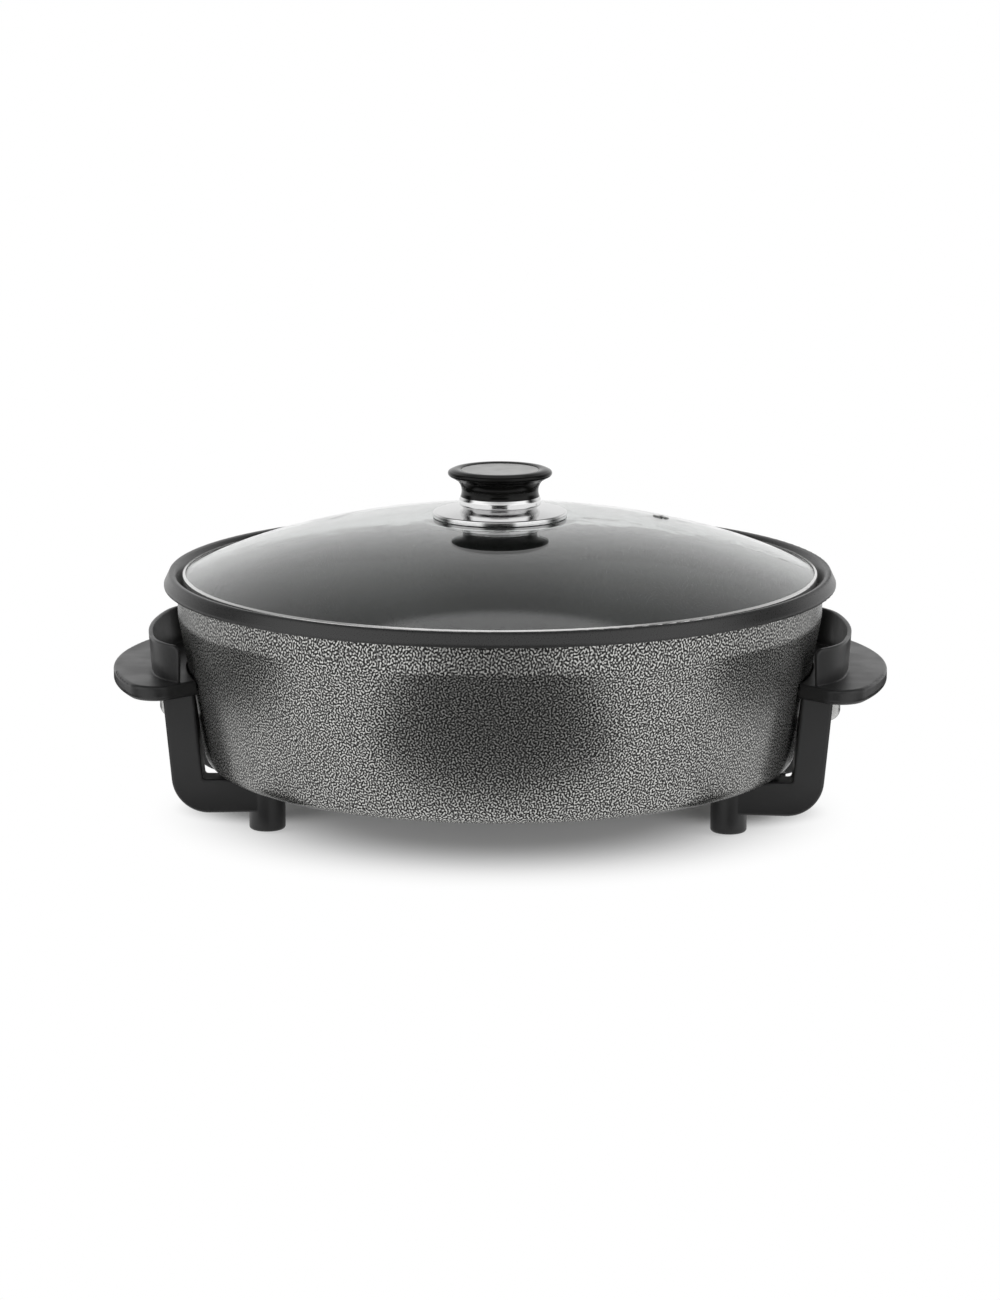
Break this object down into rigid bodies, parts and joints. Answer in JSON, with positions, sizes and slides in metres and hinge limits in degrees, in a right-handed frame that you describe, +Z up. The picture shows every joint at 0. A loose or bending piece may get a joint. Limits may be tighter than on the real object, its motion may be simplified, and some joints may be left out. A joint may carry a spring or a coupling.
{
  "type": "electric cooking pot",
  "caption": "Round deep electric pan with a domed glass lid and knob, carried on black grip mouldings whose legs end in feet, with a pin inlet for a removable heat control.",
  "frame": {"origin": "on the table under the middle of the round pan", "axes": "+X towards the handle with the inlet, +Y away from the viewer of the picture, +Z up"},
  "size_m": [0.49, 0.424, 0.2209],
  "materials": {
    "hammertone": "hammered paint outside, satin non-stick inside and on the rim",
    "cast_aluminium": "as cast",
    "bakelite": "satin moulded phenolic",
    "knob_black": "gloss",
    "inlay": "satin",
    "chrome": "polished",
    "lid_steel": "bright rolled",
    "steel": "plated",
    "brass": "turned",
    "glass": "clear, tempered",
    "rubber": "matt",
    "insulator": "mineral-filled moulding"
  },
  "bodies": {
    "pan": {"pan_casting": "hammertone", "element_carrier": "cast_aluminium", "probe_boss": "cast_aluminium", "heating_element": "steel", "terminal_block": "insulator", "power_pin_front": "steel", "power_pin_rear": "steel", "probe_sleeve": "brass", "inlet_shroud": "steel", "inlet_screws": "steel", "handle_left": "bakelite", "handle_right": "bakelite", "handle_insert_left": "brass", "handle_insert_right": "brass", "handle_screws": "steel", "foot_screws": "steel", "foot_pad_front_left": "rubber", "foot_pad_front_right": "rubber", "foot_pad_rear_left": "rubber", "foot_pad_rear_right": "rubber"},
    "lid": {"lid_glass": "glass", "lid_band": "lid_steel", "vent_eyelet": "lid_steel", "knob_gasket": "rubber", "knob_skirt": "chrome", "knob_grip": "knob_black", "knob_inlay": "inlay", "knob_insert": "brass", "knob_lower_gasket": "rubber", "knob_washer": "steel", "knob_screw": "steel"}
  },
  "joints": [
    {"name": "lid_lift", "type": "slide", "parent": "pan", "child": "lid", "axis": [0, 0, 1], "range_m": [0, 0.25]}
  ]
}
